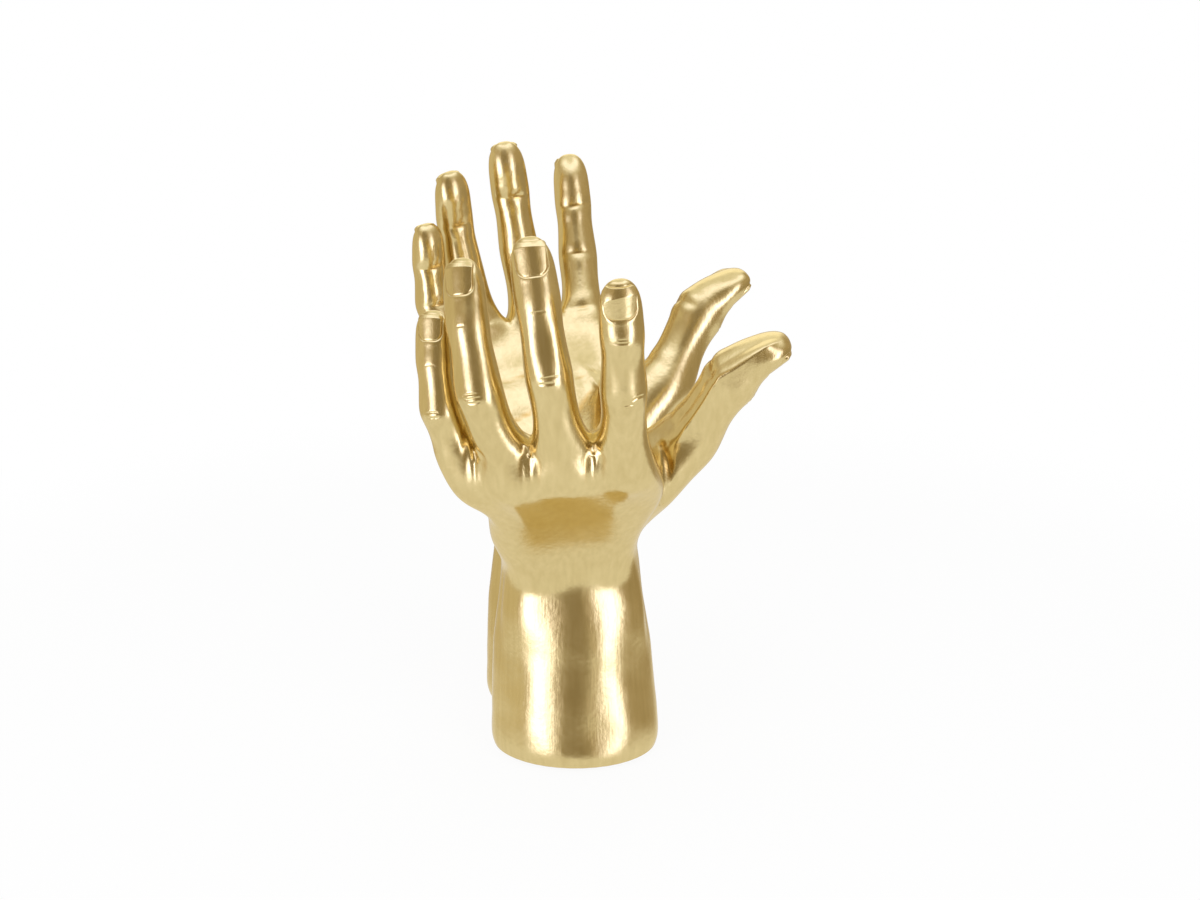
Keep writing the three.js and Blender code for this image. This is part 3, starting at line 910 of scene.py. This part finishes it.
def goldMaterial(look):
    material = bpy.data.materials.new("goldPaint")
    tree = nodeTree(material)
    out = addNode(tree, "ShaderNodeOutputMaterial")
    shader = addNode(tree, "ShaderNodeBsdfPrincipled", {
        "Metallic": 1.0, "Specular Tint": (*look["edgeTint"], 1),
        "Coat Weight": look["coat"], "Coat Roughness": look["coatRough"],
    })
    clouds = addGrain(tree, look["clouds"])
    strokes = addGrain(tree, look["strokes"])
    blend = addNode(tree, "ShaderNodeMix", {"Factor": look["strokeShare"]}, data_type="FLOAT")
    tone = mixColours(tree, {"A": look["deep"], "B": look["bright"]})
    carved = addNode(tree, "ShaderNodeAttribute", attribute_name="carvedDepth")
    first, full = look["creviceShadeDepths"]
    sunk = addNode(tree, "ShaderNodeMapRange", {"From Min": first, "From Max": full})
    # painted shade and bounce light in the carved lines, by their depth
    shaded = mixColours(tree, {"B": look["creviceShade"]})
    haze = addGrain(tree, look["haze"])
    peel = addGrain(tree, look["peel"])
    wipe = addGrain(tree, look["wipe"])
    peelBump = addBump(tree, *look["peelBump"])
    wipeBump = addBump(tree, *look["wipeBump"])
    wire(
        tree,
        (clouds, "Value", blend, "A"), (strokes, "Value", blend, "B"), (blend, "Result", tone, "Factor"),
        (carved, "Fac", sunk, "Value"), (sunk, "Result", shaded, "Factor"), (tone, "Result", shaded, "A"),
        (shaded, "Result", shader, "Base Color"), (haze, "Value", shader, "Roughness"),
        (peel, "Value", peelBump, "Height"), (wipe, "Value", wipeBump, "Height"),
        (peelBump, "Normal", wipeBump, "Normal"), (wipeBump, "Normal", shader, "Normal"),
        (shader, "BSDF", out, "Surface"),
    )
    return material


goldPaint = goldMaterial(goldFinish)
for cast, node in ((leftCast, "left_hand"), (rightCast, "right_hand")):
    cast.data.materials.clear()
    cast.data.materials.append(goldPaint)
    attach(cast, "root")
    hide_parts(node)
print("gold paint done")

grainHeight = 0.0003
hazeCoarser = 3              # the roughness varies over longer stretches than the tone
plainFinishes = {
    "plugResin": {
        "dark": (0.74, 0.70, 0.60), "light": (0.82, 0.79, 0.70), "rough": (0.55, 0.75), "metal": 0.0,
        "scale": 300.0, "bump": 0.15,
    },
    "dowelSteel": {
        "dark": (0.52, 0.52, 0.50), "light": (0.64, 0.64, 0.62), "rough": (0.28, 0.42), "metal": 1.0,
        "scale": 1500.0, "bump": 0.08,
    },
    "padFelt": {
        "dark": (0.03, 0.03, 0.028), "light": (0.075, 0.073, 0.068), "rough": (0.9, 1.0), "metal": 0.0,
        "scale": 1800.0, "bump": 0.8,
    },
}


def plainMaterial(name, look):
    material = bpy.data.materials.new(name)
    tree = nodeTree(material)
    low, high = look["rough"]
    out = addNode(tree, "ShaderNodeOutputMaterial")
    shader = addNode(tree, "ShaderNodeBsdfPrincipled", {"Metallic": look["metal"]})
    grain = addGrain(tree, {"Scale": look["scale"]})
    tone = mixColours(tree, {"A": look["dark"], "B": look["light"]})
    haze = addGrain(tree, {"Scale": look["scale"] / hazeCoarser, "Low": low, "High": high})
    bump = addBump(tree, look["bump"], grainHeight)
    wire(
        tree,
        (grain, "Value", tone, "Factor"), (tone, "Result", shader, "Base Color"),
        (haze, "Value", shader, "Roughness"),
        (grain, "Value", bump, "Height"), (bump, "Normal", shader, "Normal"),
        (shader, "BSDF", out, "Surface"),
    )
    return material


plain = {name: plainMaterial(name, look) for name, look in plainFinishes.items()}
for node, finish in (
    ("left_base_plug", "plugResin"), ("right_base_plug", "plugResin"),
    ("lower_dowel", "dowelSteel"), ("upper_dowel", "dowelSteel"),
):
    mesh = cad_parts[node].data
    mesh.materials.clear()
    mesh.materials.append(plain[finish])
print("plugs and dowels finished")

# Felt pads: cut from the sheet with soft edges, with loose fibres round the cut

padCut = {
    "weld": 1e-6,
    "flatAngle": 3,          # facets that bend less are one face
    "rimAngle": 60,
    "edge": 0.0004,
    "edgeSteps": 2,
    "edgeProfile": 0.5,
    "wallFacing": 0.5,       # faces that point further up or down have no fibres
    "fibres": {              # they lean up from the cut, away from the table
        "Density": 3.0e6, "Length": 0.0011, "Radius": 0.00004, "Upward": 0.35, "Stray": 0.45,
    },
    "seed": 4,
}


def fibreGroup():
    group = bpy.data.node_groups.new("feltFibres", "GeometryNodeTree")
    socket = group.interface.new_socket
    socket("Geometry", in_out="INPUT", socket_type="NodeSocketGeometry")
    for name in padCut["fibres"]:
        socket(name, in_out="INPUT", socket_type="NodeSocketFloat")
    socket("Seed", in_out="INPUT", socket_type="NodeSocketInt")
    socket("Material", in_out="INPUT", socket_type="NodeSocketMaterial")
    socket("Geometry", in_out="OUTPUT", socket_type="NodeSocketGeometry")
    inputs = addNode(group, "NodeGroupInput")
    outputs = addNode(group, "NodeGroupOutput")
    normal = addNode(group, "GeometryNodeInputNormal")
    parts = addNode(group, "ShaderNodeSeparateXYZ")
    level = addNode(group, "ShaderNodeMath", operation="ABSOLUTE")
    wall = addNode(group, "FunctionNodeCompare", {"B": padCut["wallFacing"]}, operation="LESS_THAN")
    points = addNode(group, "GeometryNodeDistributePointsOnFaces")
    fibre = addNode(group, "GeometryNodeMeshCone", {"Vertices": 3, "Radius Top": 0.0})
    stray = addNode(group, "FunctionNodeRandomValue", {"Min": (-1, -1, 0)}, data_type="FLOAT_VECTOR")
    strayed = addNode(group, "ShaderNodeVectorMath", operation="SCALE")
    upward = addNode(group, "ShaderNodeCombineXYZ")
    lean = addNode(group, "ShaderNodeVectorMath", operation="ADD")
    way = addNode(group, "ShaderNodeVectorMath", operation="ADD")
    turned = addNode(group, "FunctionNodeAlignRotationToVector", axis="Z")
    copies = addNode(group, "GeometryNodeInstanceOnPoints")
    real = addNode(group, "GeometryNodeRealizeInstances")
    joined = addNode(group, "GeometryNodeJoinGeometry")
    finished = addNode(group, "GeometryNodeSetMaterial")
    wire(
        group,
        (normal, "Normal", parts, "Vector"), (parts, "Z", level, 0), (level, "Value", wall, "A"),
        (inputs, "Geometry", points, "Mesh"), (wall, "Result", points, "Selection"),
        (inputs, "Density", points, "Density"), (inputs, "Seed", points, "Seed"),
        (inputs, "Seed", stray, "Seed"),
        (inputs, "Radius", fibre, "Radius Bottom"), (inputs, "Length", fibre, "Depth"),
        (stray, "Value", strayed, 0), (inputs, "Stray", strayed, "Scale"), (inputs, "Upward", upward, "Z"),
        (strayed, "Vector", lean, 0), (upward, "Vector", lean, 1),
        (points, "Normal", way, 0), (lean, "Vector", way, 1), (way, "Vector", turned, "Vector"),
        (points, "Points", copies, "Points"), (fibre, "Mesh", copies, "Instance"),
        (turned, "Rotation", copies, "Rotation"), (copies, "Instances", real, "Geometry"),
        (real, "Geometry", joined, "Geometry"), (inputs, "Geometry", joined, "Geometry"),
        (joined, "Geometry", finished, "Geometry"), (inputs, "Material", finished, "Material"),
        (finished, "Geometry", outputs, "Geometry"),
    )
    return group


feltFibres = fibreGroup()


def feltPad(node, name):
    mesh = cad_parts[node].data.copy()
    mesh.name = name
    bm = bmesh.new()
    bm.from_mesh(mesh)
    flatAngle, rimAngle = math.radians(padCut["flatAngle"]), math.radians(padCut["rimAngle"])
    bmesh.ops.remove_doubles(bm, verts=bm.verts, dist=padCut["weld"])
    bmesh.ops.dissolve_limit(bm, angle_limit=flatAngle, verts=bm.verts, edges=bm.edges)
    rims = [edge for edge in bm.edges if edge.calc_face_angle() > rimAngle]
    bmesh.ops.bevel(
        bm, geom=rims, offset=padCut["edge"], segments=padCut["edgeSteps"], profile=padCut["edgeProfile"],
        affect="EDGES",
    )
    bm.to_mesh(mesh)
    bm.free()
    pad = addObject(name, mesh)
    fibres = pad.modifiers.new("fibres", "NODES")
    fibres.node_group = feltFibres
    values = {**padCut["fibres"], "Seed": padCut["seed"], "Material": plain["padFelt"]}
    for item in feltFibres.interface.items_tree:
        if item.in_out == "INPUT" and item.name in values:
            fibres[item.identifier] = values[item.name]
    real = realMesh(pad)
    pad.modifiers.clear()
    pad.data = real
    bpy.data.meshes.remove(mesh)
    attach(pad, "root")
    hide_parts(node)
    return pad


for side in ("left", "right"):
    pad = feltPad(side + "_felt_pad", side + "Felt")
    print("felt pad cut,", len(pad.data.polygons), "faces")

# Studio: a white table in a white room. The gold reflects tall bright panels to the left and right of a dim,
# warm corner where the camera stands, a bright one above and pale ground. Nearer panels cover further ones.

studio = {
    "lookHeight": 0.13,
    "fill": 0.55,
    # Lamps: azimuth from the camera, elevation, distance, width, height, radiance
    "lamps": {
        "left": (-44, 25, 1.25, 0.6, 0.8, 2.6),
        "right": (40, 25, 1.25, 0.6, 0.8, 2.6),
        "top": (0, 86, 1.1, 1.2, 0.9, 1.4),
    },
    # Panels: limits around and upward, soft edges at the sides, below and above, distance, radiance, colour
    "panels": {
        "left": ((-60, -17), (-31, 28), (19, 10, 36), 1.3, 3.4, (1, 1.02, 1.42)),
        "right": ((25, 58), (-31, 48), (15, 10, 50), 1.3, 3.2, (1, 1.02, 1.42)),
        "rear": ((146, 218), (2, 62), (18, 14, 20), 1.3, 1.4, (1, 1, 1)),
        "core": ((-22, 22), (-30, 56), (12, 6, 20), 1.6, 0.32, (1, 0.81, 0.53)),
        "shade": ((54, 150), (-31, 12), (14, 8, 16), 1.7, 0.45, (1, 0.83, 0.57)),
        "wall": ((-160, -52), (-28, 44), (16, 7, 30), 1.7, 0.74, (1, 0.9, 0.7)),
        "corner": ((-180, 180), (-30, 60), (0, 14, 32), 1.8, 0.52, (1, 0.83, 0.57)),
        "above": ((-112, 142), (47, 82), (26, 14, 12), 1.5, 1.6, (1, 1.03, 1.36)),
        "ground": ((-180, 180), (-89, -19), (0, 0, 10), 2.4, 0.92, (1, 0.99, 1.0)),
    },
    "panelStep": 3,          # degrees
}
table = {
    "corners": 96,
    "radius": 0.5,
    "colour": (0.86, 0.86, 0.86),
    "white": 0.93,           # share that is plain white to the camera, so that the shadow stays soft
    "rimFade": 0.2,
}


def wayAround(azimuth, elevation):
    camera = Vector(cameraSetup["place"]) - Vector(cameraSetup["aim"])
    angle = math.atan2(camera.y, camera.x) + math.radians(azimuth)
    rise = math.radians(elevation)
    return Vector((math.cos(angle) * math.cos(rise), math.sin(angle) * math.cos(rise), math.sin(rise)))


lookAt = Vector((0, 0, studio["lookHeight"]))


def addLamp(name, azimuth, elevation, distance, width, height, radiance):
    data = bpy.data.lights.new(name, "AREA")
    data.shape = "RECTANGLE"
    data.size = width
    data.size_y = height
    data.energy = radiance * math.pi * width * height
    lamp = addObject(name, data)
    way = wayAround(azimuth, elevation)
    lamp.location = lookAt + way * distance
    lamp.rotation_euler = (-way).to_track_quat("-Z", "Y").to_euler()
    lamp.visible_glossy = False        # gloss sees the panels instead


def stageMesh(name, points, faces):
    mesh = bpy.data.meshes.new(name)
    mesh.from_pydata(points, [], faces)
    obj = addObject(name, mesh)
    return obj


def softEdges(values, limits, first, last):
    # rises from 0 at the first limit, and falls to 0 at the last, each within its own soft edge
    rising = ramp(values, limits[0], limits[0] + first) if first else np.ones(len(values))
    falling = 1 - ramp(values, limits[1] - last, limits[1]) if last else np.ones(len(values))
    return rising * falling


def panelMesh(name, around, upward, soft, away):
    # part of a sphere round the hands, with how far it covers what is behind it
    columns, rows = (
        np.linspace(*limits, round((limits[1] - limits[0]) / studio["panelStep"]) + 1)
        for limits in (around, upward)
    )
    points = [lookAt + wayAround(azimuth, rise) * away for rise in rows for azimuth in columns]
    wide = len(columns)
    faces = [
        (row * wide + k, row * wide + k + 1, (row + 1) * wide + k + 1, (row + 1) * wide + k)
        for row in range(len(rows) - 1)
        for k in range(wide - 1)
    ]
    obj = stageMesh(name + "Panel", points, faces)
    side, below, above = soft
    shares = np.outer(softEdges(rows, upward, below, above), softEdges(columns, around, side, side))
    cover = obj.data.attributes.new("cover", "FLOAT", "POINT")
    cover.data.foreach_set("value", shares.ravel())
    return obj


def addPanel(name, around, upward, soft, away, radiance, colour):
    obj = panelMesh(name, around, upward, soft, away)
    obj.visible_camera = False
    obj.visible_shadow = False
    obj.visible_diffuse = False
    material = bpy.data.materials.new(name + "Panel")
    material.cycles.emission_sampling = "NONE"
    tree = nodeTree(material)
    glow = addNode(tree, "ShaderNodeEmission", {"Color": (*colour, 1), "Strength": radiance})
    clear = addNode(tree, "ShaderNodeBsdfTransparent")
    cover = addNode(tree, "ShaderNodeAttribute", attribute_name="cover")
    mix = addNode(tree, "ShaderNodeMixShader")
    out = addNode(tree, "ShaderNodeOutputMaterial")
    wire(
        tree,
        (cover, "Fac", mix, "Fac"), (clear, "BSDF", mix, 1), (glow, "Emission", mix, 2),
        (mix, "Shader", out, "Surface"),
    )
    obj.data.materials.append(material)


def seenDirectly(tree):
    # node whose value is 1 for rays from the camera, from gloss and through glass
    path = addNode(tree, "ShaderNodeLightPath")
    first = addNode(tree, "ShaderNodeMath", operation="MAXIMUM")
    second = addNode(tree, "ShaderNodeMath", operation="MAXIMUM")
    wire(
        tree,
        (path, "Is Camera Ray", first, 0), (path, "Is Glossy Ray", first, 1),
        (first, "Value", second, 0), (path, "Is Transmission Ray", second, 1),
    )
    return second


def addTable(setup):
    corners, radius = setup["corners"], setup["radius"]
    ring = [2 * math.pi * k / corners for k in range(corners)]
    rim = [(radius * math.cos(angle), radius * math.sin(angle), 0) for angle in ring]
    top = stageMesh("table", rim, [tuple(range(corners))])
    top.visible_glossy = False         # gloss sees the ground panel instead
    material = bpy.data.materials.new("tablePaper")
    tree = nodeTree(material)
    paper = addNode(tree, "ShaderNodeBsdfDiffuse", {"Color": (*setup["colour"], 1)})
    white = addNode(tree, "ShaderNodeEmission")
    mix = addNode(tree, "ShaderNodeMixShader")
    coords = addNode(tree, "ShaderNodeTexCoord")
    away = addNode(tree, "ShaderNodeVectorMath", operation="LENGTH")
    limits = {"From Min": radius - setup["rimFade"], "From Max": radius, "To Min": setup["white"]}
    fade = addNode(tree, "ShaderNodeMapRange", limits, interpolation_type="SMOOTHSTEP")
    share = addNode(tree, "ShaderNodeMath", operation="MULTIPLY")
    out = addNode(tree, "ShaderNodeOutputMaterial")
    wire(
        tree,
        (coords, "Object", away, 0), (away, "Value", fade, "Value"),
        (seenDirectly(tree), "Value", share, 0), (fade, "Result", share, 1),
        (share, "Value", mix, "Fac"), (paper, "BSDF", mix, 1), (white, "Emission", mix, 2),
        (mix, "Shader", out, "Surface"),
    )
    top.data.materials.append(material)


def addWorld():
    world = bpy.data.worlds.new("studioWorld")
    scene.world = world
    tree = nodeTree(world)
    back = addNode(tree, "ShaderNodeBackground", {"Color": (1, 1, 1, 1)})
    level = addNode(tree, "ShaderNodeMapRange", {"To Min": studio["fill"]})
    out = addNode(tree, "ShaderNodeOutputWorld")
    wire(
        tree,
        (seenDirectly(tree), "Value", level, "Value"),
        (level, "Result", back, "Strength"),
        (back, "Background", out, "Surface"),
    )


for name, setup in studio["lamps"].items():
    addLamp(name, *setup)
for name, setup in studio["panels"].items():
    addPanel(name, *setup)
addTable(table)
addWorld()
print("studio lit")
